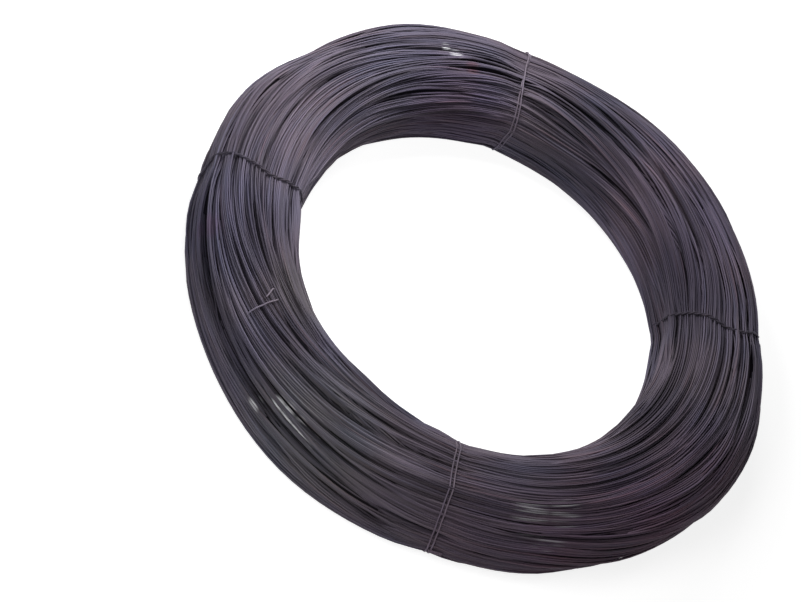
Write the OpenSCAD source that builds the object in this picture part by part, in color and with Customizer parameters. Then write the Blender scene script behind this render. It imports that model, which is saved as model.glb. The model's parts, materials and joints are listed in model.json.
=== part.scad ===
// Coil of soft annealed binding wire, held by four ties of the same wire.
// It lies on its side: the bore's axis is +Z, and the origin is on that axis at floor level.
// The turns are one solid of revolution. Each tie is a doubled wire drawn into the turns,
// with its two ends twisted together into a tail that lies along the outside.

/* [Coil] */
// Diameter of the bore that the winding block leaves
bore_d = 280; // [200:5:400]
// Width of the wound section, from the bore to the outside
section_w = 80; // [74:1:120]
// Height of the wound section as it lies
section_h = 64; // [60:1:100]
// Corner radius under the coil on the bore side
foot_bore_r = 20; // [12:1:28]
// Corner radius under the coil on the outside
foot_outer_r = 26; // [12:1:28]
// Corner radius over the coil on the bore side
crown_bore_r = 28; // [12:1:36]
// Corner radius over the coil on the outside
crown_outer_r = 34; // [12:1:36]

/* [Wire] */
// Diameter of the wire, in the turns and in the ties
wire_d = 1.2; // [0.8:0.1:2.4]
// Angle round the coil of the wire's own end, which crosses the crown and tucks in again
end_angle = 233; // [0:1:359]
// Length of that end across the turns
end_l = 30; // [12:1:32]
// Lean of that end's middle from straight up, towards the outside
end_lean = 8; // [0:1:30]

/* [Ties] */
// Angle of each tie round the coil
tie_angles = [28, 113, 199, 289]; // [0:1:359]
// Depth of a tie's back below the turns beside it
tie_sink = 0.3; // [0.2:0.1:1]
// Gap between the two strands of a tie
strand_gap = 0.3; // [0.2:0.1:1]
// Clearance between a tie and the turns that it presses on
seat_gap = 0.3; // [0.1:0.1:0.5]
// Length of the twisted tail
tail_l = 16; // [8:1:30]

/* [Hidden] */
$fn = 96;

black_oxide = [0.27, 0.26, 0.29];
dark_oxide = [0.19, 0.18, 0.20];

bore_r = bore_d / 2;
outer_r = bore_r + section_w;

// A corner's radius, held under its share of the side that it rounds
function fitted(r, side, share) = min(r, side * share - 1);
foot_share = 0.45;
crown_share = 0.55;

// The section's corners, each [radius, centre's distance from the axis, centre's height],
// in order round the section from the outer foot
foot_out = fitted(foot_outer_r, section_h, foot_share);
foot_in = fitted(foot_bore_r, section_h, foot_share);
crown_in = fitted(crown_bore_r, section_h, crown_share);
crown_out = fitted(crown_outer_r, section_h, crown_share);
CORNERS = [
    [foot_out, outer_r - foot_out, foot_out],
    [crown_out, outer_r - crown_out, section_h - crown_out],
    [crown_in, bore_r + crown_in, section_h - crown_in],
    [foot_in, bore_r + foot_in, foot_in]
];
// Direction in which each corner starts to turn
CORNER_STARTS = [270, 0, 90, 180];

// The tie's wire runs at this depth inside the section's outline, and its groove goes deeper
tie_depth = tie_sink + wire_d / 2;
groove_depth = tie_depth + wire_d / 2 + seat_gap;
strand_pitch = wire_d + strand_gap;
groove_w = strand_pitch + wire_d + 2 * seat_gap;

// The twisted tail is two wires thick and lies on the outside, halfway up its straight side
tail_d = 2 * wire_d;
tail_z = (foot_out + section_h - crown_out) / 2;

// A point on a corner's arc, a depth inside the outline, at an angle of that arc
function on_corner(corner, depth, angle) = [
    corner[1] + (corner[0] - depth) * cos(angle),
    corner[2] + (corner[0] - depth) * sin(angle)
];

// The wound section, a depth inside its outline: four round corners joined by straight sides
module section(depth = 0) {
    for (i = [0 : 3])
        translate([CORNERS[i][1], CORNERS[i][2]])
            rotate([0, 0, CORNER_STARTS[i]])
                intersection() {
                    circle(CORNERS[i][0] - depth);
                    square(CORNERS[i][0]);
                }
    polygon([
        for (i = [0 : 3], turn = [0, 90])
            on_corner(CORNERS[i], depth, CORNER_STARTS[i] + turn)
    ]);
}

// Stands a flat shape up in the plane through the axis at an angle, spread to a thickness
module upright(angle, thickness) {
    rotate([90, 0, angle])
        linear_extrude(thickness, center = true) children();
}

// The groove that a tie presses into the turns all round the section
module tie_groove(angle) {
    upright(angle, groove_w)
        difference() {
            translate([bore_r - wire_d, -wire_d])
                square([section_w + 2 * wire_d, section_h + 2 * wire_d]);
            section(groove_depth);
        }
}

// The wire's own end, an arc over the crown. It bends more tightly than the corner that it
// lies over, so both its tips sink under the top turns.
module wire_end() {
    tip_drop = wire_d;
    bend_r = 1 / (1 / crown_out + 8 * tip_drop / pow(end_l, 2));
    half_turn = end_l / 2 / bend_r * 180 / PI;
    rotate([0, 0, end_angle])
        translate([CORNERS[1][1], 0, CORNERS[1][2]])
            rotate([90, end_lean, 0])
                translate([0, crown_out + wire_d / 4 - bend_r, 0])
                    rotate([0, 0, 90 - half_turn])
                        rotate_extrude(angle = 2 * half_turn)
                            translate([bend_r, 0]) circle(d = wire_d);
}

module wire_coil() {
    color(black_oxide) {
        difference() {
            rotate_extrude() section();
            for (angle = tie_angles) tie_groove(angle);
        }
        wire_end();
    }
}

// One strand of a tie, a closed loop of wire round the section in its own plane
module tie_strand() {
    for (i = [0 : 3]) {
        corner = CORNERS[i];
        start = CORNER_STARTS[i];
        next = CORNERS[(i + 1) % 4];
        from = on_corner(corner, tie_depth, start + 90);
        to = on_corner(next, tie_depth, start + 90);
        translate([corner[1], corner[2]])
            rotate([0, 0, start])
                rotate_extrude(angle = 90)
                    translate([corner[0] - tie_depth, 0]) circle(d = wire_d);
        translate([from[0], from[1], 0])
            rotate([0, 0, start + 180])
                rotate([0, 90, 0]) cylinder(h = norm(to - from), d = wire_d);
    }
}

// The two ends of a tie, twisted together and laid along the turns
module twisted_tail() {
    lay_x = outer_r + seat_gap + tail_d / 2;
    neck_x = outer_r - tie_depth;
    translate([neck_x, 0, tail_z])
        rotate([0, 90, 0]) cylinder(h = lay_x - neck_x, d = strand_pitch + wire_d);
    translate([lay_x, 0, tail_z]) {
        sphere(d = strand_pitch + wire_d);
        rotate([-90, 0, 0]) cylinder(h = tail_l, d = tail_d);
        translate([0, tail_l, 0]) sphere(d = tail_d);
    }
}

module tie(angle) {
    color(dark_oxide)
        rotate([0, 0, angle]) {
            for (side = [-1, 1])
                translate([0, side * strand_pitch / 2, 0])
                    rotate([90, 0, 0]) tie_strand();
            twisted_tail();
        }
}

wire_coil();
for (i = [0 : len(tie_angles) - 1])
    tie(tie_angles[i]);
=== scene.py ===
# %% [markdown]
# # A coil of black annealed binding wire
# Soft binding wire is sold in coils of about 25 kg: some 2500 loose turns of 1.2 mm wire, pressed
# together and held by four short ties of the same wire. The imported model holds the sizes: a turned
# ring for the turns, and a plain closed loop for each tie. This script covers that ring with
# real turns, ties it with real doubled wires and gives everything its dark oxide.

# %% Load the frame
import json
import math

import bpy
import numpy as np
from mathutils import Matrix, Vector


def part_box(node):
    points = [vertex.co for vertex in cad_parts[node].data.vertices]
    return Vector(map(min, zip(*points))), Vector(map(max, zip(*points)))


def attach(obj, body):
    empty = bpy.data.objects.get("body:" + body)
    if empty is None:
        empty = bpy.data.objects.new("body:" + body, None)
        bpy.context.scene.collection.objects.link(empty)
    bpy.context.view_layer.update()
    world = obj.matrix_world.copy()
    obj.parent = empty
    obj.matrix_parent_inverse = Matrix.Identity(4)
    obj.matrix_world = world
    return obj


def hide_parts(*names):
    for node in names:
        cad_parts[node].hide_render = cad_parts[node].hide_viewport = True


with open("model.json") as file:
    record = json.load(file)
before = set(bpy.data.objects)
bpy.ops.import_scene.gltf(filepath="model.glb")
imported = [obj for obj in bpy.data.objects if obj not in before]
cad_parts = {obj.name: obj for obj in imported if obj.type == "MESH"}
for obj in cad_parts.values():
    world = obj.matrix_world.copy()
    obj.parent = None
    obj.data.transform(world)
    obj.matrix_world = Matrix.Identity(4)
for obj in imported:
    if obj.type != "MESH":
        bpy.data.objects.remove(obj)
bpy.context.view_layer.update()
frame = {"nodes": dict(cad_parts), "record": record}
nodes = frame["nodes"]
scene = bpy.context.scene
MM = 0.001

# %% [markdown]
# ## Sizes
# The ring's sizes come from the frame, so the turns follow it if it changes. It is a solid of
# revolution, and the ends of its flat stretches say how large each of its four corners is. They are
# read near +X, where neither a tie's groove nor the wire's end interrupts the ring. The wire's
# own diameter is its gauge.

# %% Read the ring's sizes from its mesh


def vertices(piece):
    """A mesh's vertices as an array of rows x, y, z, in millimetres."""
    flat = np.empty(len(piece.data.vertices) * 3, np.float32)
    piece.data.vertices.foreach_get("co", flat)
    return flat.reshape(-1, 3).astype(float) / MM


CLEAR_SIDE = 0.2
ring = vertices(nodes["wire_coil"])
ring = ring[abs(ring[:, 1]) < CLEAR_SIDE * ring[:, 0]]
ring_radius = np.hypot(ring[:, 0], ring[:, 1])
tie_low, tie_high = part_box("tie_1")
bore_mount = next(m for m in frame["record"]["mounts"] if m["name"] == "bore")
BORE_R = bore_mount["dims"]["r_mm"]
OUTER_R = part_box("wire_coil")[1].x / MM
# A tie lies as deep under the crown as over the foot
SECTION_H = (tie_low.z + tie_high.z) / MM
FLAT_TOL = 0.02
crown = ring_radius[abs(ring[:, 2] - SECTION_H) < FLAT_TOL]
foot = ring_radius[abs(ring[:, 2]) < FLAT_TOL]
CORNERS = {
    "crown_out": OUTER_R - crown.max(),
    "crown_in": crown.min() - BORE_R,
    "foot_in": foot.min() - BORE_R,
    "foot_out": OUTER_R - foot.max(),
}
WIRE_D = 1.2
WIRE_R = WIRE_D / 2
print("bore", BORE_R, "outside", OUTER_R, "height", SECTION_H, "corners", CORNERS)

# %% Read each tie's angle from its own loop
CROWN_BAND = 3.0


def tie_angle(name):
    """The angle round the coil of the highest stretch of a tie, in degrees."""
    loop = vertices(nodes[name])
    top = loop[loop[:, 2] > loop[:, 2].max() - CROWN_BAND].mean(axis=0)
    return math.degrees(math.atan2(top[1], top[0])) % 360


TIES = {name: tie_angle(name) for name in sorted(nodes) if name.startswith("tie_")}
print("ties", {name: round(angle, 1) for name, angle in TIES.items()})

# %% [markdown]
# ## Camera
# The coil lies flat, and the camera looks down on it from the near side, rolled, with a long
# lens. It comes first, because everything after it is judged through it.

# %% Place the camera
LENS = 113.1
CAMERA_RISE = math.radians(50.6)
CAMERA_ROLL = math.radians(36.3)
CAMERA_FAR = 1.795
AIM_LEFT = 0.0595
AIM_DOWN = 0.0112


def pose(right, up, back, spot):
    """The matrix that places a thing at a spot, with its own axes to the right, up and back."""
    matrix = np.eye(4)
    matrix[:3] = np.column_stack([right, up, back, spot])
    return Matrix(matrix.tolist())


def camera_axes(rise, roll):
    """Unit vectors: back towards the camera, then the picture's right and up after the roll."""
    back = np.array([0, -math.cos(rise), math.sin(rise)])
    level = np.array([1.0, 0, 0])
    upright = np.array([0, math.sin(rise), math.cos(rise)])
    right = math.cos(roll) * level + math.sin(roll) * upright
    up = math.cos(roll) * upright - math.sin(roll) * level
    return right, up, back


right, up, back = camera_axes(CAMERA_RISE, CAMERA_ROLL)
target = np.array([0, 0, SECTION_H / 2 * MM])
camera_data = bpy.data.cameras.new("camera")
camera_data.lens = LENS
camera = bpy.data.objects.new("camera", camera_data)
scene.collection.objects.link(camera)
camera_spot = target + back * CAMERA_FAR - right * AIM_LEFT - up * AIM_DOWN
camera.matrix_world = pose(right, up, back, camera_spot)
scene.camera = camera
print("camera at", camera_spot.round(3))

# %% [markdown]
# ## The section's outline
# Every turn runs round the coil's axis, so its shape is two numbers at each angle: its place along
# the outline of the section, and its height over that outline. Place 0 is on the outside, halfway
# up; it grows over the crown, down the bore and back along the foot. Laying wire is then
# a flat problem, as on an unrolled sheet, and one function bends the sheet back into the ring.

# %% The outline as a table of points and normals
ARC_STEP_DEG = 1.0


def outline_table():
    """Points and outward directions round the section, counter-clockwise from the outside.

    Each corner is an arc, centre plus radius times the direction; the straight sides are the
    chords between arcs. The first column is the length along the outline.
    """
    out, bore, top = OUTER_R, BORE_R, SECTION_H
    c = CORNERS
    arcs = [
        (out - c["crown_out"], top - c["crown_out"], c["crown_out"], 0),
        (bore + c["crown_in"], top - c["crown_in"], c["crown_in"], 90),
        (bore + c["foot_in"], c["foot_in"], c["foot_in"], 180),
        (out - c["foot_out"], c["foot_out"], c["foot_out"], 270),
    ]
    turn = np.arange(0, 90 + ARC_STEP_DEG, ARC_STEP_DEG)
    angle = np.radians(np.concatenate([start + turn for *_, start in arcs]))
    centre_a, centre_z, radius = (np.repeat(column, len(turn)) for column in list(zip(*arcs))[:3])
    table = np.column_stack([
        centre_a + radius * np.cos(angle),
        centre_z + radius * np.sin(angle),
        np.cos(angle),
        np.sin(angle),
    ])
    closed = np.vstack([table, table[:1]])
    length = np.concatenate([[0], np.cumsum(np.hypot(*np.diff(closed[:, :2], axis=0).T))])
    halfway = np.interp(SECTION_H / 2, closed[: len(turn), 1], length[: len(turn)])
    return length - halfway, closed


OUTLINE_PLACE, OUTLINE = outline_table()
AROUND = OUTLINE_PLACE[-1] - OUTLINE_PLACE[0]


def on_ring(angle, place, height):
    """Points x, y, z in millimetres: the outline's point at a place, moved out along its normal."""
    a, z, na, nz = (np.interp(place, OUTLINE_PLACE, column, period=AROUND) for column in OUTLINE.T)
    a = a + na * height
    return np.stack([a * np.cos(angle), a * np.sin(angle), z + nz * height], axis=-1)


def near(difference, whole):
    """A difference on a closed line, brought into the half circle either side of nought."""
    return (difference + whole / 2) % whole - whole / 2


print("outline", round(AROUND, 1), "mm")

# %% [markdown]
# ## How the turns run
# A coil that is wound loosely has no helix left in it. Between the ties its turns cross the section
# in broad swathes, and the ties kink them, because there they are held. That is a flow: at each
# angle and place it says how far sideways a turn moves in one degree. A turn is then a
# streamline, found by walking round the ring a station at a time with every turn at once.

# %% The flow of the swathes
STATIONS = 240
STEP_DEG = 360 / STATIONS
angle_deg = np.arange(STATIONS) * STEP_DEG
ANGLE = np.radians(angle_deg)
KINK_DEG = 3.0
TIE_RIGHT, TIE_FAR, TIE_LEFT, TIE_NEAR = TIES.values()

# From angle, to angle, centre place, half width in mm, sideways mm in one degree
CURRENTS = [
    (TIE_LEFT, TIE_NEAR, 52, 30, 0.47),
    (TIE_LEFT, TIE_NEAR, 14, 9, -0.22),
    (206, 240, 14, 9, -0.18),
    (TIE_LEFT, 236, 66, 14, -0.26),
    (238, 262, 0, 8, 0.20),
    (255, TIE_NEAR, -6, 9, -0.32),
    (TIE_RIGHT + 360, TIE_FAR + 360, 78, 26, -0.40),
    (60, 95, 103, 10, 0.36),
    (TIE_FAR, TIE_LEFT, 76, 13, 0.17),
    (TIE_FAR, 165, 50, 12, -0.14),
    (135, 160, 90, 8, -0.14),
    (TIE_FAR, 145, 104, 8, 0.24),
    (310, 352, 4, 21, -0.60),
    (335, 362, 44, 12, -0.12),
    (345, TIE_RIGHT + 360, 20, 14, 0.30),
    (350, TIE_RIGHT + 360, 96, 10, 0.15),
    (60, 140, -20, 30, 0.25),
    (180, 260, -40, 30, -0.25),
    (300, 380, -60, 30, 0.25),
    (20, 100, -80, 30, -0.30),
    (150, 230, -95, 25, 0.25),
    (TIE_FAR, 180, 10, 24, -0.20),
]
BIN_MM = 0.1
BINS = int(round(AROUND / BIN_MM))
BIN = AROUND / BINS
bin_place = np.arange(BINS) * BIN


def column_at(place):
    """The column of the unrolled sheet in which a place lies."""
    return np.round(np.asarray(place) / BIN).astype(int) % BINS


def flow_table():
    """Sideways mm per degree over the sheet: a window over the angle times a bell over the place."""
    slope = np.zeros((STATIONS, BINS))
    for start, end, middle, width, amount in CURRENTS:
        inside = (end - start) / 2 - abs(near(angle_deg - (start + end) / 2, 360))
        window = (np.tanh(inside / KINK_DEG) + 1) / 2
        bell = np.exp(-(near(bin_place - middle, AROUND) / width) ** 2)
        slope += amount * window[:, None] * bell
    return slope


FLOW = flow_table()


def streamlines(station, place, back, ahead, lean=0.0):
    """Places from back stations before a seed to ahead stations after it, a row for each seed.

    Each step adds the flow at the station between and the line's own lean.
    """
    station, place = np.broadcast_arrays(np.asarray(station), np.asarray(place, float))
    rows = {0: place}
    for way, count in ((1, ahead), (-1, back)):
        here = place
        for k in range(count):
            now = (station + way * k) % STATIONS
            then = (now + way) % STATIONS
            middle = (FLOW[now, column_at(here)] + FLOW[then, column_at(here)]) / 2
            here = here + way * (middle + lean) * STEP_DEG
            rows[way * (k + 1)] = here
    return np.stack([rows[k] for k in range(-back, ahead + 1)], axis=-1)


print(len(CURRENTS), "currents, steepest", round(abs(FLOW).max(), 2), "mm in a degree")

# %% [markdown]
# ## Gaps between swathes
# Where neighbouring swathes part, a gap opens along the flow, and the turns beside it sink towards
# it. The main gaps are chosen here, by angle and place; small ones come from random numbers.

# %% The chosen grooves
# Centre angle, place there, half length in degrees, width in mm
GROOVES = [
    (216, 14, 18, 5.6), (250, 9, 28, 2.4), (219, 56, 13, 2.0), (244, 67, 18, 1.6), (222, 68, 20, 1.0),
    (242, 55, 20, 1.7), (258, 22, 24, 2.0), (268, 62, 10, 1.6), (258, 48, 14, 2.4), (281, 58, 10, 1.5),
    (270, -3, 12, 2.0), (256, -7, 8, 1.4), (246, 6, 8, 1.4), (208, 84, 18, 1.2), (268, 33, 12, 1.6),
    (232, 43, 18, 1.6), (284, 7, 9, 2.0), (72, 99, 17, 2.2), (82, 70, 27, 2.2), (84, 57, 10, 1.2),
    (52, 71, 10, 1.2), (122, 66, 14, 1.8), (137, 52, 22, 1.0), (120, 60, 8, 1.4), (142, 88, 18, 1.8),
    (152, 42, 14, 0.8), (165, 76, 26, 1.7), (146, 88, 11, 1.4), (131, 104, 14, 1.5), (68, 40, 10, 1.5),
    (12, 34, 14, 2.7), (348, 41, 10, 1.7), (320, 60, 24, 1.2), (318, 22, 20, 1.2), (300, 46, 20, 1.0),
    (332, 5, 16, 1.5), (340, 70, 20, 1.2), (10, 60, 20, 1.2), (22, 99, 12, 2.0), (350, 92, 20, 1.4),
    (45, 84, 16, 1.2), (180, 55, 24, 1.0), (185, 35, 22, 1.2), (100, 88, 14, 1.4), (60, 62, 14, 1.2),
    (30, -30, 20, 2.0), (90, -10, 24, 2.2), (150, -30, 22, 1.9), (205, -20, 20, 2.0),
    (300, -35, 24, 2.2), (60, -70, 24, 2.0), (130, -95, 22, 1.9), (200, -75, 24, 2.2),
    (270, -90, 24, 2.0), (330, -80, 20, 1.9), (110, 15, 24, 1.7), (150, 10, 20, 1.7), (50, 5, 20, 1.7),
    (180, 0, 24, 1.5),
]
print(len(GROOVES), "chosen grooves")

# %% Creases at the ties
CREASE_DEG = 6
CREASE_WIDTH = 1.0
CREASE_VARIES = (0.6, 1.4)
CREASE_SHIFT = 6
CREASES_A_TIE = 9
SEED = 7
rng = np.random.default_rng(SEED)


def crease_list():
    """Short grooves that open on both sides of each tie, where it gathers the turns into strands."""
    found = []
    for tie in TIES.values():
        for place in np.arange(CREASES_A_TIE) * AROUND / CREASES_A_TIE:
            for side in (-1, 1):
                length = CREASE_DEG * rng.uniform(*CREASE_VARIES)
                spot = place + rng.uniform(-CREASE_SHIFT, CREASE_SHIFT)
                width = CREASE_WIDTH * rng.uniform(*CREASE_VARIES)
                found.append((tie + side * length, spot, length, width))
    return found


creases = crease_list()
print(len(creases), "creases")

# %% Seams of the swathes
SEAM_EVERY_DEG = 45
SEAM_APART = (6, 15)
SEAM_LENGTH = (14, 36)
SEAM_WIDTH = (0.3, 1.5)
# The far left lies calmer: angle and place of its middle, its half sizes in degrees and mm, and by
# how much its seams are narrower
CALM_SPOT = (160, 48)
CALM_SIZE = (42, 26)
CALM = 0.6


def seam_list():
    """Long narrow grooves all over the coil, at random distances."""
    found = []
    for angle in range(0, 360, SEAM_EVERY_DEG):
        place = rng.uniform(*SEAM_APART)
        while place < AROUND:
            centre = angle + rng.uniform(-0.5, 0.5) * SEAM_EVERY_DEG
            length, width = rng.uniform(*SEAM_LENGTH), rng.uniform(*SEAM_WIDTH)
            x = near(centre - CALM_SPOT[0], 360) / CALM_SIZE[0]
            y = (place - CALM_SPOT[1]) / CALM_SIZE[1]
            found.append((centre, place, length, width * (1 - CALM * math.exp(-x * x - y * y))))
            place += rng.uniform(*SEAM_APART)
    return found


seams = seam_list()
print(len(seams), "seams")

# %% The turns make way for a groove
HALF_ROUND = STATIONS // 2
GROOVE_REACH = 4.5
GROOVE_EDGE = 0.5
HOLD_MM = 2.5


def groove_lines(grooves):
    """Each groove's line, a streamline round the whole ring, and its half width, a parabola."""
    centre, place, length, width = (np.array(column)[:, None] for column in zip(*grooves))
    station = np.round(centre / STEP_DEG).astype(int) % STATIONS
    lines = streamlines(station[:, 0], place[:, 0], HALF_ROUND, HALF_ROUND - 1)
    lines = np.take_along_axis(lines, (np.arange(STATIONS) - station + HALF_ROUND) % STATIONS, axis=1)
    x = near(angle_deg - centre, 360) / length
    return lines, width / 2 * np.clip(1 - x * x, 0, 1)


GROOVE_LINES, GROOVE_HALF = groove_lines(GROOVES + creases + seams)


def parted(path, stations):
    """A path with the turns beside each groove pushed away, less and less with the distance.

    A chosen groove keeps each turn on the side where most of it lies, so that none crosses it; its
    hold eases off where it closes.
    """
    half = GROOVE_HALF[:, stations]
    some = half.any(axis=1)
    lines, half = GROOVE_LINES[some][:, stations], half[some]
    apart = near(path - lines, AROUND)
    push = half * np.tanh(apart / GROOVE_EDGE) * np.exp(-abs(apart) / GROOVE_REACH)
    kept = np.flatnonzero(some) < len(GROOVES)
    side = np.sign((apart * half).sum(axis=1, keepdims=True))
    away = np.maximum(side * apart, 0)
    held = side * (away + half * np.exp(-away / GROOVE_REACH)) - apart
    widest = GROOVE_HALF[some].max(axis=1, keepdims=True)
    hold = np.clip(2 * half / widest, 0, 1) * np.exp(-(np.minimum(side * apart, 0) / HOLD_MM) ** 2)
    held = hold * held + (1 - hold) * push
    push = np.where(kept[:, None], held, push)
    return path + push.sum(axis=0)


print(len(GROOVE_LINES), "grooves, the widest", round(2 * GROOVE_HALF.max(), 1), "mm")

# %% How the turns sink beside a groove
SINK_A_WIDTH = 1.3
SINK_MOST = 4.5
SINK_REACH = 1.6
# Painted shade along the chosen grooves' lips: how far it reaches and how dark it gets
GROOVE_SHADE_REACH = 1.1
GROOVE_SHADE_MOST = 1.5


def groove_sheet():
    """Over the unrolled sheet: which cells lie inside a groove, how deep its sides sink, its shade.

    The sides fall away to the groove as two round bundles do where they touch: an exponential of
    the distance from its edge, the deeper the wider it is. Where grooves meet the deeper counts. A
    chosen groove also gets painted shade along its lips: a darkening that fades as a bell curve does.
    """
    inside = np.zeros((STATIONS, BINS), bool)
    depth, shade = np.zeros((2, STATIONS, BINS))
    for order, (line, half) in enumerate(zip(GROOVE_LINES, GROOVE_HALF)):
        at = np.flatnonzero(half)
        apart = abs(near(bin_place[None, :] - line[at, None], AROUND))
        wide = half[at, None]
        inside[at] |= apart < wide
        deep = np.minimum(SINK_A_WIDTH * 2 * wide, SINK_MOST)
        depth[at] = np.maximum(depth[at], deep * np.exp(-np.maximum(apart - wide, 0) / SINK_REACH))
        if order < len(GROOVES):
            shade_share = np.clip(2 * wide / wide.max(), 0, 1)
            fading = np.exp(-(np.maximum(apart - wide, 0) / GROOVE_SHADE_REACH) ** 2)
            shade[at] = np.maximum(shade[at], GROOVE_SHADE_MOST * shade_share * fading)
    return inside, depth, shade


IN_GROOVE, SINK, GROOVE_SHADE = groove_sheet()
print("grooves over", round(IN_GROOVE.mean() * 100), "percent of the sheet")

# %% [markdown]
# ## Laying the turns
# The turns are laid one by one, as the winding machine does. A height field over the unrolled sheet
# says how high the heap stands. Each new turn rests on it, and because wire is stiff it bridges
# the hollows: its height is lifted to a smooth line above what it touches. Then the turn itself
# is added to the field. Crossings, bridges and gaps all come out of that one rule. A turn comes
# to the top only for part of its way round, so on top it is laid as a stretch, and dives at both ends.

# %% The heap as a height field
HEAP_FLOOR = -2.9 * WIRE_D
heap = np.full((STATIONS, BINS), HEAP_FLOOR)
reach = int(WIRE_R / BIN)
bin_offsets = np.arange(-reach, reach + 1)
wire_dome = np.sqrt(np.maximum(WIRE_R**2 - (bin_offsets * BIN) ** 2, 0))
BRIDGE_PASSES = 24
DIVE_DEG = 6.0
DIVE_MM = 2.2 * WIRE_D


def eased(line, times):
    """A line averaged with its neighbours, one part each side to two of its own; its ends stay."""
    for _ in range(times):
        wide = np.concatenate([line[:1], line, line[-1:]])
        line = (wide[:-2] + 2 * wide[1:-1] + wide[2:]) / 4
    return line


def touched(path, stations):
    """The heap's cells that a wire along a path covers, and the height at which it touches them.

    That height is the heap plus the wire's own round, at its highest across the wire.
    """
    cells = stations[:, None], (column_at(path)[:, None] + bin_offsets) % BINS
    return cells, (heap[cells] + wire_dome).max(axis=1)


def lay(path, first, dive=0.0):
    """Rests a wire on the heap along a path from its first station, and returns its centre's height.

    The wire is the least smooth line above the height at which it touches: ease, lift back, and
    repeat. A dive is a depth by which both its ends sink under the turns that they meet.
    """
    cells, contact = touched(path, (first + np.arange(len(path))) % STATIONS)
    height = contact
    for _ in range(BRIDGE_PASSES):
        height = np.maximum(contact, eased(height, 2))
    height = eased(height, 3)
    if dive:
        order = np.arange(len(path))
        from_end = np.minimum(order, order[::-1]) * STEP_DEG
        height = height - dive * np.exp(-(from_end / DIVE_DEG) ** 2)
    heap[cells] = np.maximum(heap[cells], height[:, None] + wire_dome)
    return height


# %% Under-layers: whole turns
# Each layer's pitch, and how far its ribbons and the whole layer wander, in mm
UNDER_LAYERS = [(1.10 * WIRE_D, 2.5, 5), (1.08 * WIRE_D, 2.0, 4)]
UNDER_COUNT = (4, 12)
SLOW_WAVES = (1, 2, 3)


def wander(amount, count, waves):
    """A slow wave along a path: a few cosines of random size and phase."""
    waves = np.array(waves)
    size = rng.normal(0, amount, len(waves)) / waves
    phase = rng.uniform(0, 2 * np.pi, len(waves))
    turn = np.arange(count) * 2 * np.pi / STATIONS
    return (size[:, None] * np.cos(np.outer(waves, turn) + phase[:, None])).sum(axis=0)


def under_layer(pitch, sideways, sway):
    """One layer of whole turns round the outline, in ribbons that share a slow wander."""
    laid = []
    stations = np.arange(STATIONS + 1)
    layer_sway = sway * np.cos(stations * np.radians(STEP_DEG) + rng.uniform(0, 2 * np.pi))
    start = 0.0
    while start < AROUND - pitch / 2:
        count = rng.integers(*UNDER_COUNT)
        shared = layer_sway + wander(sideways, STATIONS + 1, SLOW_WAVES)
        shade = rng.uniform()
        for place in start + pitch * np.arange(count):
            path = parted(place + shared, stations % STATIONS)
            laid.append((0, path, lay(path, 0), shade))
        start += count * pitch
    return laid


stretches = [turn for layer in UNDER_LAYERS for turn in under_layer(*layer)]
print(len(stretches), "whole turns, heap", heap.mean().round(1), "mm")

# %% Top layer: stretches along the flow
SEED_ANGLES = np.arange(0, 360, 60)
TOP_PITCH = 1.04 * WIRE_D
LEAST_PITCH = 1.0 * WIRE_D
TOP_COUNT = (3, 11)
SEED_SHIFT = 25
REACH_DEG = (32, 72)
LEAN = 0.06
JITTER = 0.10
JITTER_WAVES = (2, 5, 9)
TRIM = 7
EASE_PASSES = 6


def side_by_side(lines):
    """Lines of one ribbon kept a wire apart where the flow closes in, about the ribbon's own middle."""
    gaps = np.maximum(np.diff(lines, axis=0), LEAST_PITCH)
    spread = np.vstack([np.zeros((1, lines.shape[1])), np.cumsum(gaps, axis=0)])
    return spread - spread.mean(axis=0) + lines.mean(axis=0)


def top_ribbons():
    """Ribbons of stretches, seeded at a few angles round the ring and carried by the flow.

    At each seed angle the outline is shared out into ribbons of neighbouring turns. A ribbon has
    its own lean across the flow and its own length either way; a turn in it differs by a little.
    """
    ribbons = []
    for seed_angle in SEED_ANGLES:
        start = rng.uniform(0, TOP_PITCH)
        end = start + AROUND - TOP_PITCH / 2
        while start < end:
            count = rng.integers(*TOP_COUNT)
            places = start + TOP_PITCH * np.arange(count)
            start += count * TOP_PITCH
            centre = int(round((seed_angle + rng.uniform(-SEED_SHIFT, SEED_SHIFT)) / STEP_DEG))
            back, ahead = (rng.uniform(*REACH_DEG, 2) / STEP_DEG).astype(int)
            lean = rng.normal(0, LEAN)
            lines = streamlines(centre % STATIONS, places[places < end], back, ahead, lean)
            ribbons.append((centre - back, side_by_side(lines)))
    rng.shuffle(ribbons)
    return ribbons


def lay_ribbon(first, lines):
    """Lays a ribbon's stretches side by side, each trimmed a little differently at its ends."""
    laid = []
    shade = rng.uniform()
    for line in lines:
        cut, cut_end = rng.integers(0, TRIM, 2)
        path = line[cut: len(line) - cut_end]
        start = first + cut
        stations = (start + np.arange(len(path))) % STATIONS
        path = path + wander(JITTER, len(path), JITTER_WAVES)
        path = eased(parted(eased(path, EASE_PASSES), stations), 2)
        laid.append((start % STATIONS, path, lay(path, start, DIVE_MM), shade))
    return laid


for first_station, ribbon_lines in top_ribbons():
    stretches += lay_ribbon(first_station, ribbon_lines)
print(len(stretches), "turns and stretches, heap", heap.mean().round(1), "mm")

# %% Helpers that smooth the heap
# A blur below is two reaches: along the ring in degrees, and across it in mm
BINS_A_SHIFT = 4


def blurred(field, along_deg, across_mm):
    """A closed field smoothed by a bell, as a product in the frequencies of both directions."""
    f_angle = np.fft.fftfreq(STATIONS)[:, None] / STEP_DEG
    f_place = np.fft.rfftfreq(BINS)[None, :] / BIN
    bell = np.exp(-2 * np.pi**2 * ((f_angle * along_deg) ** 2 + (f_place * across_mm) ** 2))
    return np.fft.irfft2(np.fft.rfft2(field) * bell, s=field.shape)


def upper_surface(field, reach_mm):
    """The highest value within a reach either side along the outline."""
    steps = int(reach_mm / BIN)
    highest = field.copy()
    for shift in range(-steps, steps + 1, BINS_A_SHIFT):
        highest = np.maximum(highest, np.roll(field, shift, axis=1))
    return highest


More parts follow.
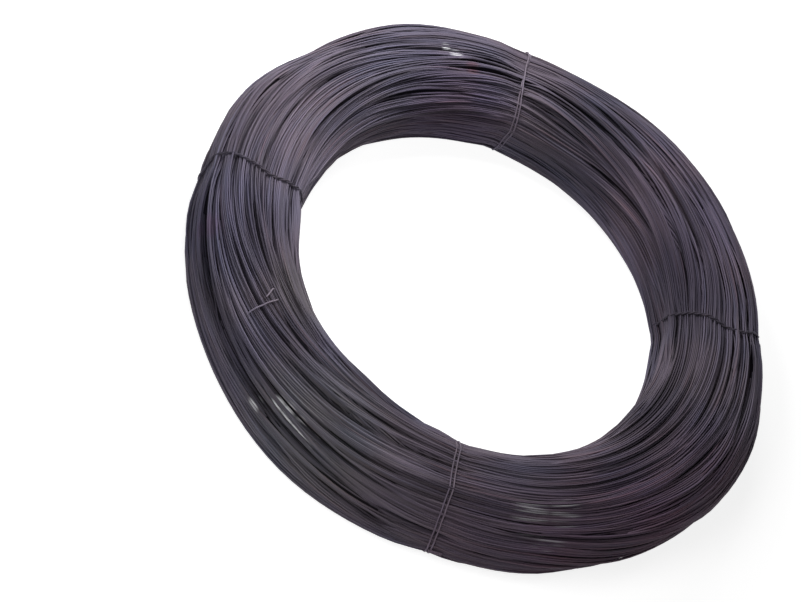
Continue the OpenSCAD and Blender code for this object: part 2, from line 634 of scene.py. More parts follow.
# %% Fill the hollows
FILL_ROUNDS = 10
FILL_A_ROUND = 120
HOLLOW_MM = 0.35 * WIRE_D
LUMP_MM = 0.8 * WIRE_D
FILL_CELLS = (30, 80)
FILL_REACH = 36
FILL_MORE = (1, 4)
OPEN_REACH = 3.0
OPEN_BLUR = (8, 3)
WIDE_BLUR = (25, 20)
TOPS_BLUR = (4, 0.4)


def open_surface():
    """The heap's smooth upper surface, held to a small lump over its wide level."""
    upper = blurred(upper_surface(heap, OPEN_REACH), *OPEN_BLUR)
    return np.minimum(upper, blurred(heap, *WIDE_BLUR) + LUMP_MM)


def wire_tops():
    """How high a new wire's top would stand anywhere: the contact height plus the wire's radius."""
    contact = np.full(heap.shape, HEAP_FLOOR)
    for offset, dome in zip(bin_offsets, wire_dome):
        contact = np.maximum(contact, np.roll(heap, offset, axis=1) + dome)
    return contact + WIRE_R


def hollow_spots(depths):
    """The deepest spot of each cell of a coarse grid, the deepest of all first."""
    rows = np.arange(STATIONS) * FILL_CELLS[0] // STATIONS
    columns = np.arange(BINS) * FILL_CELLS[1] // BINS
    cell = rows[:, None] * FILL_CELLS[1] + columns[None, :]
    order = np.argsort(depths.ravel())
    _, first_of_cell = np.unique(cell.ravel()[order], return_index=True)
    lowest = order[np.sort(first_of_cell)[:FILL_A_ROUND]]
    lowest = lowest[depths.ravel()[lowest] < -HOLLOW_MM]
    return np.unravel_index(lowest, heap.shape)


def fill_hollow(station, column, depths, surface_now):
    """One wire laid along the flow for as far as the hollow goes, unless another has filled it."""
    line = streamlines(station, bin_place[column], FILL_REACH, FILL_REACH, rng.normal(0, LEAN / 2))
    along = (station - FILL_REACH + np.arange(len(line))) % STATIONS
    full = np.flatnonzero(depths[along, column_at(line)] > 0)
    before = full[full < FILL_REACH].max(initial=0)
    after = full[full > FILL_REACH].min(initial=len(line) - 1)
    more = rng.integers(*FILL_MORE, 2)
    before = max(before - more[0], 0)
    after = min(after + more[1], len(line) - 1)
    along = along[before: after + 1]
    path = parted(line[before: after + 1], along)
    top = touched(path, along)[1] + WIRE_R
    if (top - surface_now[along, column_at(path)]).mean() > -HOLLOW_MM / 2:
        return []
    return [(along[0], path, lay(path, along[0], DIVE_MM), rng.uniform())]


for _ in range(FILL_ROUNDS):
    surface_now = open_surface()
    depths = np.where(IN_GROOVE, LUMP_MM, blurred(wire_tops(), *TOPS_BLUR) - surface_now)
    before = len(stretches)
    for station, column in zip(*hollow_spots(depths)):
        stretches += fill_hollow(station, column, depths, surface_now)
    print(len(stretches) - before, "hollows filled, the deepest", depths.min().round(1), "mm")

# %% [markdown]
# ## Pressing the coil into shape
# The heap is lumpy where swathes crowd together. A real coil is pressed and tied, so its lumps go
# inwards. The script takes the heap's smooth upper surface away from every height, and puts the
# swells and the pinches of the real outline there instead.

# %% Swells and pinches
# Centre angle, centre place, half length in degrees, half width in mm, height in mm
SWELLS = [
    (65, 22, 18, 20, 5.6), (107, 22, 9, 20, -1.8), (116, 22, 4, 20, 1.6), (134, 22, 10, 20, 2.6),
    (158, 10, 8, 16, -2.0), (350, 3, 20, 24, 6.6), (8, 10, 6, 16, 1.6), (33, 14, 6, 16, -1.8),
    (336, -14, 9, 16, -3.8), (308, -20, 5, 14, 1.8), (178, 10, 6, 16, 2.6), (196, 0, 6, 16, -2.0),
    (260, -18, 18, 16, 4.2), (232, 97, 26, 16, -5.0), (256, 95, 7, 12, 2.0), (352, 108, 12, 16, 4.4),
    (300, 97, 9, 12, -1.6), (67, 48, 18, 18, -2.2), (190, 30, 14, 20, 0.8), (270, 60, 20, 20, 0.5),
]
PINCH_DEG = 4.0
PINCH_DEPTH = 2.2
PINCH_POWER = 1.5
TOP_LEVEL = -0.2
PROUD_MM = 1.7
DEEP_MM = 7.0
LUMP_REACH = 2.5
LUMP_BLUR = (16, 13)
LOCAL_REACH = 2.0
LOCAL_BLUR = (3, 1.5)
# How much of the painted shade comes from a groove's sinking
SINK_SHADE = 0.45


def swell(angle, place):
    """Height added to the outline, a bell for each swell and a ring-shaped pinch at each tie."""
    added = np.zeros(np.broadcast(angle, place).shape)
    for centre, middle, length, width, height in SWELLS:
        x = near(angle - centre, 360) / length
        y = near(place - middle, AROUND) / width
        added = added + height * np.exp(-(x * x + y * y) / 2)
    for tie in TIES.values():
        pinch = np.exp(-np.abs(near(angle - tie, 360) / PINCH_DEG) ** PINCH_POWER)
        added = added - PINCH_DEPTH * pinch
    return added


lump = blurred(upper_surface(heap, LUMP_REACH), *LUMP_BLUR)
local_top = blurred(upper_surface(heap, LOCAL_REACH), *LOCAL_BLUR)


def squeezed(rise):
    """A height over the smooth surface, or a depth below it, eased towards its limit: its tanh."""
    limit = np.where(rise > 0, PROUD_MM, DEEP_MM)
    return limit * np.tanh(rise / limit)


def pressed(stations, path, height):
    """Heights after pressing: lumps squeezed and taken out, swells and pinches put in."""
    here = stations, column_at(path)
    rise = squeezed(height - lump[here])
    return rise + TOP_LEVEL + swell(angle_deg[stations], path) - SINK[here]


def painted_depth_shade(stations, path, height):
    """How much painted shade a turn gets: nought on top, one a wire down, more in a groove and along its
    lips.
    """
    here = stations, column_at(path)
    below = (local_top[here] - WIRE_R - height) / WIRE_D
    shade = np.clip(below, 0, 1) * (1 - SINK_SHADE) + SINK[here] / SINK_MOST * SINK_SHADE
    return np.maximum(shade, GROOVE_SHADE[here])


print("lumps", lump.min().round(1), lump.max().round(1), "mm")

# %% Keep only the stretches that can be seen
SEEN_DEPTH = 1.15 * WIRE_D
SEEN_REACH = int(0.9 * WIRE_D / BIN)
END_MARGIN = 3
sheltered = heap.copy()
for bins_aside in range(-SEEN_REACH, SEEN_REACH + 1, 2):
    sheltered = np.minimum(sheltered, np.roll(heap, bins_aside, axis=1))


def seen_runs(first, path, height, shade):
    """The runs of stations at which a stretch comes within a depth of the open surface beside it."""
    stations = (first + np.arange(len(path))) % STATIONS
    column = column_at(path)
    bare = sheltered[stations, column] - height < SEEN_DEPTH
    wide = np.convolve(bare, np.ones(2 * END_MARGIN + 1), "same") > 0
    edges = np.flatnonzero(np.diff(np.concatenate([[0], wide, [0]])))
    return [
        (stations[a:b], path[a:b], height[a:b], np.full(b - a, shade))
        for a, b in zip(edges[::2], edges[1::2])
        if b - a > 2 * END_MARGIN
    ]


runs = [run for stretch in stretches for run in seen_runs(*stretch)]
print(len(stretches), "turns and stretches show in", len(runs), "runs")

# %% [markdown]
# ## Wires as tubes
# Every wire here is one thing, a round profile carried along a path. The turns have six sides:
# there are thousands of stretches, hardly a wire's width from one another, so more sides would
# only cost time. Smooth shading makes them round.

# %% Tubes along many paths in one mesh


def new_piece(name, points, faces):
    """A smooth piece made of points in millimetres and faces, in the scene."""
    mesh = bpy.data.meshes.new(name)
    mesh.from_pydata(np.reshape(points, (-1, 3)) * MM, [], faces)
    mesh.shade_smooth()
    piece = bpy.data.objects.new(name, mesh)
    scene.collection.objects.link(piece)
    return piece


def tube_mesh(name, points, lengths, extras, closed=False):
    """One mesh of many tubes, from rings of points one after the other.

    points is stations x sides x 3 in millimetres and lengths the stations of each tube. A face
    joins each side of a ring to the next ring; an open tube gets a flat face at each end. extras
    holds a reading for each station under each attribute's name.
    """
    count, sides = points.shape[:2]
    ends = np.cumsum(lengths)
    starts = ends - lengths
    after = np.arange(1, count + 1)
    after[ends - 1] = starts
    spans = np.arange(count)
    if not closed:
        spans = np.delete(spans, ends - 1)
    here = spans[:, None] * sides
    there = after[spans][:, None] * sides
    side = np.arange(sides)[None, :]
    beside = (side + 1) % sides
    quads = np.stack([here + side, there + side, there + beside, here + beside], axis=-1)
    faces = quads.reshape(-1, 4).tolist()
    if not closed:
        faces += (starts[:, None] * sides + side).tolist()
        faces += ((ends - 1)[:, None] * sides + side[:, ::-1]).tolist()
    piece = new_piece(name, points, faces)
    for key, values in extras.items():
        readings = piece.data.attributes.new(key, "FLOAT", "POINT")
        readings.data.foreach_set("value", np.repeat(np.asarray(values, np.float32), sides))
    piece.data.update()
    print(name, len(lengths), "tubes,", len(faces), "faces")
    return piece


# %% The turns
TURN_SIDES = 6
# Six flat sides are as wide as a round wire on average when their corners stand out this far
ROUND_UP = 1.05
MESH_EVERY = 2
STATIONS_A_PIECE = 15000


def thinned(run):
    """A run with every second station and its last one: its arcs are long enough for that."""
    keep = np.unique(np.append(np.arange(0, len(run[1]), MESH_EVERY), len(run[1]) - 1))
    return tuple(column[keep] for column in run) + (keep,)


def turn_tubes(name, picked):
    """A batch of runs as one mesh: a six-sided ring in the plane through the axis at each station."""
    picked = [thinned(run) for run in picked]
    lengths = np.array([len(run[1]) for run in picked])
    stations, path, height, shade, kept = (np.concatenate(column) for column in zip(*picked))
    angle = ANGLE[stations]
    centres = on_ring(angle, path, pressed(stations, path, height))
    centres[:, 2] = np.maximum(centres[:, 2], WIRE_R * ROUND_UP)
    number = rng.uniform(0, 1, len(picked))
    phi = np.repeat(number, lengths)[:, None] * 2 * np.pi
    phi = phi + np.arange(TURN_SIDES) * 2 * np.pi / TURN_SIDES
    out = np.stack([np.cos(angle), np.sin(angle), 0 * angle], axis=-1)[:, None, :]
    upward = np.array([0, 0, 1.0])
    rings = np.cos(phi)[..., None] * out + np.sin(phi)[..., None] * upward
    points = centres[:, None, :] + WIRE_R * ROUND_UP * rings
    station_m = np.radians(STEP_DEG) * (BORE_R + OUTER_R) / 2 * MM
    extras = {
        "tint": np.repeat(number, lengths),
        "swathe": shade,
        "run": kept * station_m,
        # deep carries painted shade: for turns that lie low, in a groove or along a chosen groove's lips
        "deep": painted_depth_shade(stations, path, height),
    }
    return tube_mesh(name, points, lengths, extras)


batches = math.ceil(sum(len(run[1]) for run in runs) / MESH_EVERY / STATIONS_A_PIECE)
turn_pieces = [turn_tubes(f"turns_{i + 1}", runs[i::batches]) for i in range(batches)]

# %% [markdown]
# ## The turns underneath
# Between the laid turns the eye can reach the deeper ones for a few millimetres. They are one plain
# closed ring under the heap, painted nearly black as their shade, and without any gloss.

# %% The imported turns as a surface
CORE_GAP = 1.8
CORE_EVERY = (2, 24)
CORE_BLUR = (3, 2)
surface = squeezed(heap - lump) + TOP_LEVEL + swell(angle_deg[:, None], bin_place[None, :]) - SINK


def core_ring(name):
    """One thick closed tube under the turns, whose section is the smoothed surface less a gap."""
    stations = np.arange(0, STATIONS, CORE_EVERY[0])
    columns = np.arange(0, BINS - BINS % CORE_EVERY[1], CORE_EVERY[1])
    depth = blurred(surface, *CORE_BLUR)[stations[:, None], columns] - CORE_GAP
    points = on_ring(ANGLE[stations][:, None], bin_place[columns][None, :], depth)
    return tube_mesh(name, points, np.array([len(stations)]), {}, closed=True)


core = core_ring("packed_turns")

# %% [markdown]
# ## The ties
# Each tie is a doubled wire pulled round the section and twisted shut on the outside. Both wires
# follow the pressed heap's own upper surface at that angle, so they bed into the turns. Two of the
# ties are twisted all the way round, and in the other two the wires lie side by side.

# %% Helpers for the ties
LOOP_SIDES = 10
BED_REACH = 1.2
TAUT_MM = 3.0
BEND_SMOOTH = 9
PAIR_TINTS = (0.3, 0.7)
ASKEW = (0.3, 0.5, 0.8)


def bed(angle, place, ease_mm=TAUT_MM):
    """The pressed turns' height at places round the section, smoothed as a taut wire would do it."""
    station = int(round(angle / STEP_DEG)) % STATIONS
    rows = surface[[station - 1, station, (station + 1) % STATIONS]].max(axis=0)
    highest = upper_surface(rows[None, :], BED_REACH)[0]
    f = np.fft.rfftfreq(BINS) / BIN
    smooth = np.fft.irfft(np.fft.rfft(highest) * np.exp(-2 * (np.pi * f * ease_mm) ** 2), n=BINS)
    return smooth[(np.asarray(place) / BIN).astype(int) % BINS]


def wire_rings(line, closed):
    """Rings of points round a line, in the plane across it at each station.

    The line's direction is from the station behind to the one ahead. Its cross product with a
    direction that no wire here has gives one way across, and a second product the other.
    """
    ahead = np.roll(line, -1, axis=0) if closed else np.vstack([line[1:], line[-1:]])
    behind = np.roll(line, 1, axis=0) if closed else np.vstack([line[:1], line[:-1]])
    tangent = ahead - behind
    tangent /= np.linalg.norm(tangent, axis=1, keepdims=True)
    across = np.cross(tangent, ASKEW)
    across /= np.linalg.norm(across, axis=1, keepdims=True)
    other = np.cross(tangent, across)
    phi = np.arange(LOOP_SIDES) * 2 * np.pi / LOOP_SIDES
    round_it = np.cos(phi)[:, None] * across[:, None] + np.sin(phi)[:, None] * other[:, None]
    return line[:, None] + WIRE_R * round_it


def wire_pair(name, lines, run, closed):
    """Two wires in one mesh, kept over the floor, each with a number of its own for its colour."""
    for line in lines:
        line[:, 2] = np.maximum(line[:, 2], WIRE_R)
    rings = np.concatenate([wire_rings(line, closed) for line in lines])
    extras = {"tint": np.repeat(PAIR_TINTS, len(run)), "run": np.tile(run * MM, 2)}
    return tube_mesh(name, rings, np.full(2, len(run)), extras, closed)


def out_of_plane(place, bends):
    """Degrees by which a tie leaves its own plane: straight between its bends, then smoothed."""
    at, degrees = np.array(bends).T
    wave = np.interp(place, at, degrees, period=AROUND)
    wide = np.concatenate([wave[-BEND_SMOOTH:], wave, wave[:BEND_SMOOTH]])
    return np.convolve(wide, np.ones(2 * BEND_SMOOTH + 1) / (2 * BEND_SMOOTH + 1), "valid")


# %% The loops round the section
LOOP_STEPS = 360
LOOP_SEAT = 0.2 * WIRE_R
TWIST_DEPTH = 0.6


def tie_loops(name, angle, pitch, twists, bends):
    """The two wires of a tie round the section, side by side.

    Their middle line lies on the bed. Each wire is moved from it by half the pitch, in a direction
    that turns through the given number of twists on the way round.
    """
    place = np.arange(LOOP_STEPS) * AROUND / LOOP_STEPS
    level = bed(angle, place) + LOOP_SEAT
    turn = np.radians(angle + out_of_plane(place, bends))
    middle = on_ring(turn, place, level)
    outward = on_ring(turn, place, level + 1) - middle
    sideways = np.stack([-np.sin(turn), np.cos(turn), 0 * turn], axis=-1)
    twist = 2 * np.pi * twists * place / AROUND
    across = np.cos(twist)[:, None] * sideways + np.sin(twist)[:, None] * outward * TWIST_DEPTH
    lines = [middle + side * pitch / 2 * across for side in (-1, 1)]
    return wire_pair(name, lines, place, True)


# %% The twisted ends
TAIL_STEPS = 60
TAIL_MM = 9.0
TAIL_TURNS = 3
# How far from the tie it starts, how high it lies, and how far up and aside its end has moved
TAIL_START = 1.0
TAIL_SEAT = 0.6 * WIRE_D
TAIL_RISE = 0.3
TAIL_DRIFT = 1.5


def tie_tail(name, angle, spot, way):
    """The two ends of a tie, a double spiral that lies along the turns from a spot on the outline."""
    steps = np.linspace(0, 1, TAIL_STEPS)
    run = steps * TAIL_MM
    spiral = 2 * np.pi * TAIL_TURNS * steps
    turn = np.radians(angle) + way * (run + TAIL_START) / OUTER_R
    level = bed(angle, spot) + TAIL_SEAT + TAIL_RISE * steps
    lines = []
    for phase in (0, np.pi):
        place = spot + TAIL_DRIFT * steps + WIRE_R * np.cos(spiral + phase)
        lines.append(on_ring(turn, place, level + WIRE_R * np.sin(spiral + phase)))
    return wire_pair(name, lines, run, False)


# %% The four ties
# For each tie: the pitch of its wires, its twists on the way round, the place of its tail and the
# tail's way round the coil, and its bends, each a place and degrees out of the tie's plane there
TIE_STYLES = [
    (1.3, 22, 15, -1, [
        (-20, 1), (14, 1.1), (28, 0.4), (47, -1.9), (60, -1.4), (72, 0.2), (88, 1.6), (100, 1.8),
        (131, 5),
    ]),
    (2.8, 1, -4, 1, [
        (-20, -2), (30, -2.4), (52, -1.2), (75, -0.6), (92, -1.6), (112, -2.8), (135, -2.5),
    ]),
    (1.3, 22, -30, 1, [(-20, -1), (20, -2.4), (40, -1.6), (60, 0.7), (100, -0.6)]),
    (2.8, 0, -13, 1, [(-20, 0.6), (5, -0.6), (22, -1.2), (45, -1.4), (67, -1.8), (85, -1.6)]),
]
tie_pieces = {}
for (tie_name, tie_at), (pitch, twists, tail_spot, tail_way, bends) in zip(TIES.items(), TIE_STYLES):
    tie_pieces[tie_name] = [
        tie_loops(tie_name + "_wires", tie_at, pitch, twists, bends),
        tie_tail(tie_name + "_wires_twist", tie_at, tail_spot, tail_way),
    ]

# %% [markdown]
# ## The wire's own end
# The coil's last turn ends in a short hook: the wire comes up between two swathes, lies across some
# thirty turns and dives between them again, and its cut tip shows beside it.

# %% The hook
END_ANGLE = 233.8
END_POINTS = [  # angle round the coil, place on the outline, height over the turns, in degrees and mm
    (234.3, 30.5, -3.0), (234.2, 33, -1.0), (234.1, 35.5, 0.5), (234.0, 40, 0.8), (233.9, 45, 0.8),
    (233.8, 49, 0.8), (233.7, 53, 0.7), (233.6, 55.5, 0.2), (233.3, 57.3, -1.4), (232.4, 58, -2.8),
    (231.4, 57.6, -2.0), (230.9, 56.5, -0.2), (231.0, 55, 0.7), (231.8, 52, 0.8), (232.5, 48.8, 0.7),
]
END_STEPS = 120
END_TAUT_MM = 2.0
END_TINT = 0.5


def smooth_line(points, steps):
    """A smooth line through chosen points: cubic Hermite pieces with the neighbours' chord as slope."""
    p = np.array(points, float)
    slope = np.gradient(p, axis=0)
    t = np.linspace(0, len(p) - 1, steps)
    i = np.minimum(t.astype(int), len(p) - 2)
    u = (t - i)[:, None]
    return (
        (2 * u**3 - 3 * u**2 + 1) * p[i]
        + (u**3 - 2 * u**2 + u) * slope[i]
        + (3 * u**2 - 2 * u**3) * p[i + 1]
        + (u**3 - u**2) * slope[i + 1]
    )


end_angle, end_place, over_turns = smooth_line(END_POINTS, END_STEPS).T
end_line = on_ring(np.radians(end_angle), end_place, bed(END_ANGLE, end_place, END_TAUT_MM) + over_turns)
end_extras = {"tint": np.full(END_STEPS, END_TINT), "run": end_place * MM}
end_piece = tube_mesh("wire_end", wire_rings(end_line, False), np.array([END_STEPS]), end_extras)

# %% [markdown]
# ## Black oxide
# Annealing leaves a thin skin of black iron oxide: a dark grey, half-metal sheen, bluish where the
# skin is thin and brown where it has begun to rust. It changes slowly along each wire and from
# wire to wire, so its noise is read along the wire, with the wire's own number as
# the second direction.

# %% Where the oxide changes over the coil, and where light and shade are painted on it
# Angle, place on the outline, radius in mm, and what it multiplies red, green and blue by: purple or
# brown where the coil lay damp, blue where the skin is thin, olive where it was handled, and rust
# in the last two
TINGES = [
    (300, 6, 75, 1.07, 0.95, 0.98), (322, 12, 85, 1.12, 0.91, 0.97), (345, 18, 85, 1.10, 0.93, 0.98),
    (212, 30, 60, 0.97, 0.99, 1.07), (260, 20, 75, 0.97, 1.05, 0.92), (232, 84, 40, 0.98, 1.05, 0.94),
    (60, 75, 110, 1.05, 0.96, 1.00), (130, 112, 60, 1.07, 0.93, 1.04),
    (214, 19, 14, 1.12, 0.90, 0.98), (126, 67, 8, 1.25, 0.88, 0.82),
]
# The same with one factor for all three: painted shade on the bore wall, painted light over the crown
LIGHT_AND_SHADE_ZONES = [
    (40, 106, 65, 0.60), (90, 106, 65, 0.66), (140, 108, 55, 0.72), (352, 107, 55, 0.62),
    (75, 40, 50, 1.25), (115, 42, 55, 1.20), (250, 60, 45, 1.18), (232, 46, 36, 1.25),
    (184, 80, 40, 1.14),
]
ZONES = TINGES + [(*row, row[-1], row[-1]) for row in LIGHT_AND_SHADE_ZONES]
# How near to its middle a zone reaches its full strength, as a share of its radius
ZONE_CORE = 0.3
# Angle, place, radius in mm and strength of the painted glints: spots where single turns are painted
# pale, as rubbed bare wire that catches the light
GLINTS = [
    (252, 18, 8, 0.9), (254, 20, 8, 0.9), (255, 16, 8, 0.9), (257, 19, 8, 0.9), (259, 15.5, 8, 0.9),
    (261, 18, 7, 0.9), (249, 3, 7, 0.8), (130, 57, 7, 0.9), (132, 50, 5, 0.9),
    (305, 38, 18, 0.35), (312, 40, 16, 0.35), (309, 18, 16, 0.3),
]
print(len(ZONES), "zones and", len(GLINTS), "glints")

# %% Colours and noises of the oxide
HUES = [
    (0.30, (0.097, 0.092, 0.125)), (0.45, (0.105, 0.092, 0.122)),
    (0.58, (0.107, 0.096, 0.118)), (0.70, (0.120, 0.092, 0.114)),
]
WARMTH = [(0.40, (0.94, 0.97, 1.05)), (0.60, (1.05, 0.98, 0.97))]
# The pale grey of the painted glints, and the noise limits that break them into streaks
GLINT_COLOUR = (0.55, 0.55, 0.57, 1)
GLINT_LIMITS = (0.54, 0.62)
# Each noise's scale and detail
NOISES = dict(hue=(1, 3), warmth=(14, 2), swathe=(1, 1), rub=(1.7, 0), wear=(5, 4), relief=(900, 3))
# What a wire's run in metres and its number, or its swathe's, are multiplied by for the noise
WIRE_SPREAD = (9, 97)
SWATHE_SPREAD = (7, 61)
# How far swathes differ: their noise from and to, and their shade from and to
SWATHE_SHADE = (0.3, 0.7, 0.65, 1.35)
# How far a single turn differs from its swathe, and what is left of the colour a whole wire down, as
# painted shade
OWN_SHADE = 0.14
DEEP_SHADE = 0.45
ROUGH, ROUGH_WEAR = 0.42, 0.30
METAL = 0.3
print(len(NOISES), "noises")

# %% Helpers for shader nodes


def feed(tree, node, values):
    """Gives a node's inputs, by name or number, plain values or other nodes' outputs."""
    for key, value in dict(values).items():
        if isinstance(value, (int, float, tuple)):
            node.inputs[key].default_value = value
        else:
            tree.links.new(value, node.inputs[key])
    return node.outputs


def add_node(tree, kind, values=(), **settings):
    """A new shader node with its settings and what its inputs get. It returns the outputs."""
    node = tree.nodes.new("ShaderNode" + kind)
    for key, value in settings.items():
        setattr(node, key, value)
    return feed(tree, node, values)


def new_material(name):
    """A new material, its node tree and the Principled surface that comes with it."""
    material = bpy.data.materials.new(name)
    material.use_nodes = True
    return material, material.node_tree, material.node_tree.nodes["Principled BSDF"]


# %% The oxide as a node group
NUMBERS_IN = ("Run", "Tint", "Swathe", "Deep", "Lightness")
NUMBERS_OUT = ("Roughness", "Metallic", "Height")
OXIDE = bpy.data.node_groups.new("black_oxide", "ShaderNodeTree")
sockets = [(key, "INPUT", "Float") for key in NUMBERS_IN] + [("Place", "INPUT", "Vector")]
sockets += [("Color", "OUTPUT", "Color")] + [(key, "OUTPUT", "Float") for key in NUMBERS_OUT]
for key, way, kind in sockets:
    OXIDE.interface.new_socket(key, in_out=way, socket_type="NodeSocket" + kind)
GIVEN = OXIDE.nodes.new("NodeGroupInput").outputs
print(OXIDE.name, "has", len(sockets), "sockets")

# %% Nodes for its numbers and colours
# The mix node names its sockets for numbers and for colours alike, so these say which it is
MIX_FACTOR, MIX_A, MIX_B, MIX_RESULT = 0, 6, 7, 2


def noise(name, vector):
    """One of the noises, read at a vector."""
    scale, detail = NOISES[name]
    return add_node(OXIDE, "TexNoise", {"Scale": scale, "Detail": detail, "Vector": vector})["Fac"]


def ramp(value, stops):
    """A colour that runs from stop to stop as a value grows."""
    color = add_node(OXIDE, "ValToRGB", {"Fac": value})["Color"]
    elements = color.node.color_ramp.elements
    while len(elements) < len(stops):
        elements.new(0.5)
    for element, (position, shade) in zip(elements, stops):
        element.position = position
        element.color = (*shade, 1)
    return color


def calc(operation, *values):
    """One step of arithmetic on numbers."""
    return add_node(OXIDE, "Math", enumerate(values), operation=operation)[0]


def mixed(kind, factor, a, b):
    """Two colours mixed, or with MULTIPLY the first one multiplied by the second."""
    sides = {MIX_FACTOR: factor, MIX_A: a, MIX_B: b}
    return add_node(OXIDE, "Mix", sides, data_type="RGBA", blend_type=kind)[MIX_RESULT]


def map_range(value, *limits, easing="LINEAR"):
    """A value between the first two limits, brought between the other two, or nought and one."""
    sides = zip(("Value", "From Min", "From Max", "To Min", "To Max"), (value, *limits))
    return add_node(OXIDE, "MapRange", sides, interpolation_type=easing)["Result"]


# %% Where on the coil, and where on the wire


def within(angle, spot, radius):
    """One near a spot of the ring, falling smoothly to nought at a radius in mm."""
    middle = tuple(on_ring(math.radians(angle), spot, 0) * MM)
    away = add_node(OXIDE, "VectorMath", {0: GIVEN["Place"], 1: middle}, operation="DISTANCE")
    reach = radius * MM
    return map_range(away["Value"], reach, reach * ZONE_CORE, easing="SMOOTHSTEP")


def along_and(key, spread):
    """A vector to read noise by: the wire's run, and one of its numbers."""
    sides = (calc("MULTIPLY", GIVEN[name], by) for name, by in zip(("Run", key), spread))
    return add_node(OXIDE, "CombineXYZ", zip("XY", sides))[0]


wire = along_and("Tint", WIRE_SPREAD)
along = noise("hue", wire)
print(len(OXIDE.nodes), "nodes so far")

# %% The oxide's colour, its painted shade and its painted glints


def oxide_colour():
    """The hue along the wire, times the zones' tinges and painted light and shade, the shades of swathe
    and turn, and the painted shade of depth.
    """
    warm = ramp(noise("warmth", GIVEN["Place"]), WARMTH)
    colour = mixed("MULTIPLY", 1.0, ramp(along, HUES), warm)
    for angle, spot, radius, *tinge in ZONES:
        colour = mixed("MULTIPLY", within(angle, spot, radius), colour, (*tinge, 1))
    swathe = map_range(noise("swathe", along_and("Swathe", SWATHE_SPREAD)), *SWATHE_SHADE)
    own = calc("MULTIPLY_ADD", GIVEN["Tint"], OWN_SHADE, 1 - OWN_SHADE / 2)
    # Painted shade: the lower a turn lies, or the nearer a groove, the darker it is painted
    deep = calc("MULTIPLY_ADD", GIVEN["Deep"], DEEP_SHADE - 1, 1)
    shade = calc("MULTIPLY", calc("MULTIPLY", own, swathe), deep)
    shade = calc("MULTIPLY", shade, GIVEN["Lightness"])
    return add_node(OXIDE, "VectorMath", {0: colour, "Scale": shade}, operation="SCALE")[0]


def painted_glints():
    """How much painted glint a wire gets: the glints' spots, broken up by noise along each wire."""
    glint = 0.0
    for *spot, strength in GLINTS:
        glint = calc("MAXIMUM", glint, calc("MULTIPLY", within(*spot), strength))
    return calc("MULTIPLY", map_range(noise("rub", wire), *GLINT_LIMITS), glint)


feed(OXIDE, OXIDE.nodes.new("NodeGroupOutput"), {
    # The painted glints are mixed over the oxide's colour
    "Color": mixed("MIX", painted_glints(), oxide_colour(), GLINT_COLOUR),
    "Roughness": calc("MULTIPLY_ADD", noise("wear", wire), ROUGH_WEAR, ROUGH),
    "Metallic": calc("MULTIPLY", along, METAL),
    "Height": noise("relief", GIVEN["Place"]),
})
print(OXIDE.name, len(OXIDE.nodes), "nodes")

# %% The finishes
GLOSS = 0.15
SHEEN = (0.90, 0.78, 1.0, 1)
RELIEF, RELIEF_M = 0.3, 0.0001


def wire_material(name, lightness, gloss=GLOSS):
    """A Principled surface fed by the oxide group, with a shallow scale bump."""
    material, tree, surface = new_material(name)
    given = {key.capitalize(): add_node(tree, "Attribute", attribute_name=key)["Fac"]
             for key in ("run", "tint", "swathe", "deep")}
    given |= {"Place": add_node(tree, "TexCoord")["Object"], "Lightness": lightness}
    oxide = add_node(tree, "Group", given, node_tree=OXIDE)
    bump = {"Strength": RELIEF, "Distance": RELIEF_M, "Height": oxide["Height"]}
    feed(tree, surface, {
        "Base Color": oxide["Color"],
        "Roughness": oxide["Roughness"],
        "Metallic": oxide["Metallic"],
        "Normal": add_node(tree, "Bump", bump)["Normal"],
        "Specular IOR Level": gloss,
        "Specular Tint": SHEEN,
    })
    return material


turn_finish = wire_material("oxide_turns", 1.0)
# Two ties are painted dark as their shade; the other two are painted pale, partly for barer wire and
# partly as painted light
shaded_tie = wire_material("oxide_tie_dark", 0.55)
pale_tie = wire_material("oxide_tie_pale", 1.3)
end_finish = wire_material("oxide_end", 1.6)
# The turns underneath are painted nearly black, as shade
core_shade_finish = wire_material("oxide_deep", 0.15, gloss=0.0)
for piece in turn_pieces:
    piece.data.materials.append(turn_finish)
core.data.materials.append(core_shade_finish)
end_piece.data.materials.append(end_finish)
# The first and third ties get the painted shade, the second and fourth the pale finish
for pair, finish in zip(tie_pieces.values(), (shaded_tie, pale_tie, shaded_tie, pale_tie)):
    for piece in pair:
        piece.data.materials.append(finish)
print("finishes", [m.name for m in bpy.data.materials])

# %% Ride and replace
for piece in turn_pieces + [core, end_piece]:
    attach(piece, "root")
    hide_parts("wire_coil")
for tie_name, pair in tie_pieces.items():
    for piece in pair:
        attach(piece, "root")
        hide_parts(tie_name)
print(len(turn_pieces) + 2, "pieces for the coil,", len(tie_pieces), "pairs for the ties")

# %% [markdown]
# ## Floor and light
# A floor takes the coil's shadow. It and the world are pale to look at, but give the coil little
# light of their own: that comes from three small soft lamps, which draw the sheen along the wires.

# %% Floor
FLOOR_HALF = 3000
FLOOR_LIFT = 0.85
WHITE = (1, 1, 1, 1)
FLOOR_PAINT = {
    "Base Color": (0.55, 0.55, 0.55, 1),
    "Roughness": 0.9,
    "Specular IOR Level": 0.0,
    "Emission Color": WHITE,
}


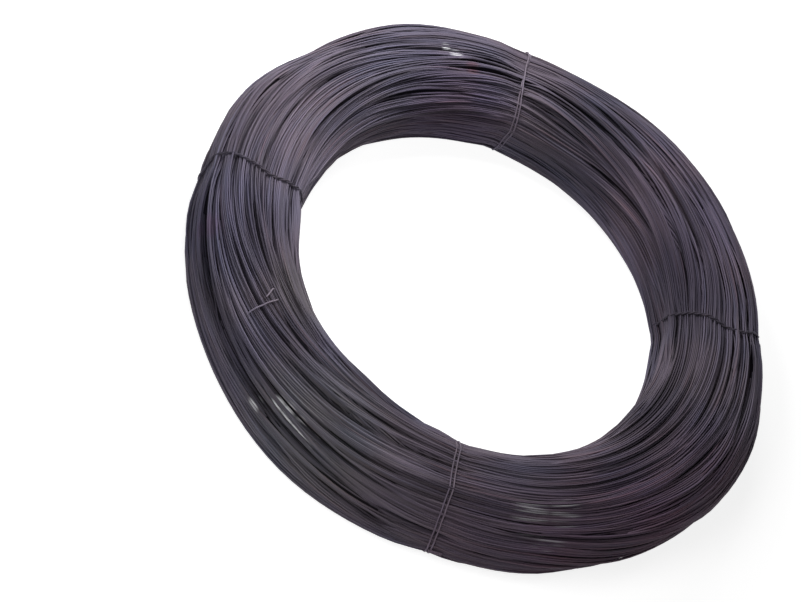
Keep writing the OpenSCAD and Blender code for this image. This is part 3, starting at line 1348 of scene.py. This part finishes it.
def lifted(tree, light, looks):
    """A strength with one value for light, and another for what is looked at or reflected."""
    rays = add_node(tree, "LightPath")
    seen = rays["Is Camera Ray"]
    for ray in ("Is Glossy Ray", "Is Transmission Ray"):
        seen = add_node(tree, "Math", {0: seen, 1: rays[ray]}, operation="MAXIMUM")[0]
    return add_node(tree, "MapRange", {"Value": seen, "To Min": light, "To Max": looks})["Result"]


floor_corners = np.array([(-1, -1, 0), (1, -1, 0), (1, 1, 0), (-1, 1, 0)]) * FLOOR_HALF
floor = new_piece("floor", floor_corners, [(0, 1, 2, 3)])
floor_paint, paint_tree, paint = new_material("floor_paint")
feed(paint_tree, paint, FLOOR_PAINT)
feed(paint_tree, paint, {"Emission Strength": lifted(paint_tree, 0.0, FLOOR_LIFT)})
floor.data.materials.append(floor_paint)
print("floor", 2 * FLOOR_HALF, "mm across")

# %% Lamps
# Each lamp: angle round the coil in degrees, distance from the axis and height in metres, size, watts
LAMPS = {
    "key": (150, 0.27, 0.30, 0.20, 1.25),
    "back": (115, 0.36, 0.40, 0.30, 0.90),
    "side": (255, 0.42, 0.40, 0.30, 1.30),
}


def soft_lamp(name, turn_deg, away, height, size, power):
    """A round soft lamp that faces the middle of the coil."""
    turn = math.radians(turn_deg)
    spot = np.array([away * math.cos(turn), away * math.sin(turn), height])
    toward = spot - target
    toward /= np.linalg.norm(toward)
    sideways = np.cross([0, 0, 1.0], toward)
    sideways /= np.linalg.norm(sideways)
    data = bpy.data.lights.new(name, "AREA")
    data.shape = "DISK"
    data.size = size
    data.energy = power
    lamp = bpy.data.objects.new(name, data)
    scene.collection.objects.link(lamp)
    lamp.matrix_world = pose(sideways, np.cross(toward, sideways), toward, spot)
    lamp.visible_camera = False
    print("lamp", name, power, "W")


for lamp_name, lamp_values in LAMPS.items():
    soft_lamp(lamp_name, *lamp_values)

# %% World
WORLD_LIGHT = 0.04
world = bpy.data.worlds.new("studio")
scene.world = world
world.use_nodes = True
sky = world.node_tree
feed(sky, sky.nodes["Background"], {"Color": WHITE, "Strength": lifted(sky, WORLD_LIGHT, 1.0)})
scene.view_settings.view_transform = "Standard"
print("world", world.name)
